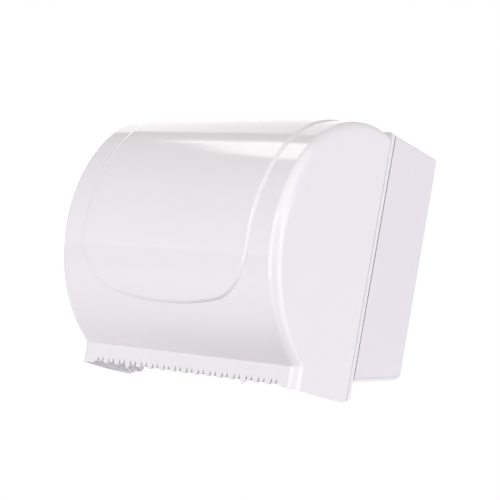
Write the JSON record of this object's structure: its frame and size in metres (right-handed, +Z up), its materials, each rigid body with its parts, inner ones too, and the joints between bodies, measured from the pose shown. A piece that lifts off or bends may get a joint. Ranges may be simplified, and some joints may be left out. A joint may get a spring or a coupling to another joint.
{
  "type": "roll towel dispenser",
  "caption": "Wall-mounted roll towel dispenser with a hinged curved white cover, a toothed tear edge, a shallow rear case, sprung roll arms with hubs, and a cam lock.",
  "frame": {"origin": "on the wall's face, at the centre of the rectangle of the four wall screw holes", "axes": "+X along the roll's axle towards the right-hand end as seen from the room, +Y into the wall, +Z up"},
  "size_m": [0.2936, 0.2107, 0.2629],
  "materials": {
    "cover_plastic": "glossy white ABS",
    "case_plastic": "satin white ABS",
    "arm_plastic": "grey moulded acetal",
    "hub_plastic": "dark grey moulded acetal",
    "blade_steel": "stamped stainless strip",
    "pin_steel": "bright turned steel",
    "spring_steel": "drawn spring wire",
    "zinc_steel": "zinc plated",
    "lock_chrome": "chrome plated"
  },
  "bodies": {
    "case": {"rear_case": "case_plastic", "left_hinge_pin": "pin_steel", "right_hinge_pin": "pin_steel", "left_arm_pin": "pin_steel", "right_arm_pin": "pin_steel", "left_pin_clip": "spring_steel", "right_pin_clip": "spring_steel", "left_arm_spring": "spring_steel", "right_arm_spring": "spring_steel", "lock_keeper": "zinc_steel"},
    "cover": {"front_cover": "cover_plastic", "tear_bar": "blade_steel", "lock_barrel": "lock_chrome", "lock_nut": "zinc_steel"},
    "lock": {"lock_plug": "lock_chrome", "lock_cam": "zinc_steel", "cam_washer": "zinc_steel", "cam_screw": "zinc_steel"},
    "right_arm": {"right_arm": "arm_plastic", "right_hub_washer": "zinc_steel", "right_hub_screw": "zinc_steel"},
    "left_arm": {"left_arm": "arm_plastic", "left_hub_washer": "zinc_steel", "left_hub_screw": "zinc_steel"},
    "right_hub": {"right_hub": "hub_plastic"},
    "left_hub": {"left_hub": "hub_plastic"}
  },
  "joints": [
    {"name": "cover_hinge", "type": "hinge", "parent": "case", "child": "cover", "pos_m": [0, -0.084, -0.132], "axis": [1, 0, 0], "range_deg": [0, 100]},
    {"name": "lock_turn", "type": "hinge", "parent": "cover", "child": "lock", "pos_m": [0, -0.091, 0.108], "axis": [0, 0, -1], "range_deg": [0, 90]},
    {"name": "right_arm_swing", "type": "hinge", "parent": "case", "child": "right_arm", "pos_m": [0.118, -0.015, -0.002], "axis": [0, 0, 1], "range_deg": [0, 12], "stiffness_Nm_per_rad": 0.3, "springref_deg": -20.05, "deforming": ["right_arm_spring"]},
    {"name": "left_arm_swing", "type": "hinge", "parent": "case", "child": "left_arm", "pos_m": [-0.118, -0.015, -0.002], "axis": [0, 0, -1], "range_deg": [0, 12], "stiffness_Nm_per_rad": 0.3, "springref_deg": -20.05, "deforming": ["left_arm_spring"]},
    {"name": "right_hub_spin", "type": "hinge", "parent": "right_arm", "child": "right_hub", "pos_m": [0.1, -0.104, -0.002], "axis": [1, 0, 0], "continuous": true},
    {"name": "left_hub_spin", "type": "hinge", "parent": "left_arm", "child": "left_hub", "pos_m": [-0.1, -0.104, -0.002], "axis": [1, 0, 0], "continuous": true}
  ]
}
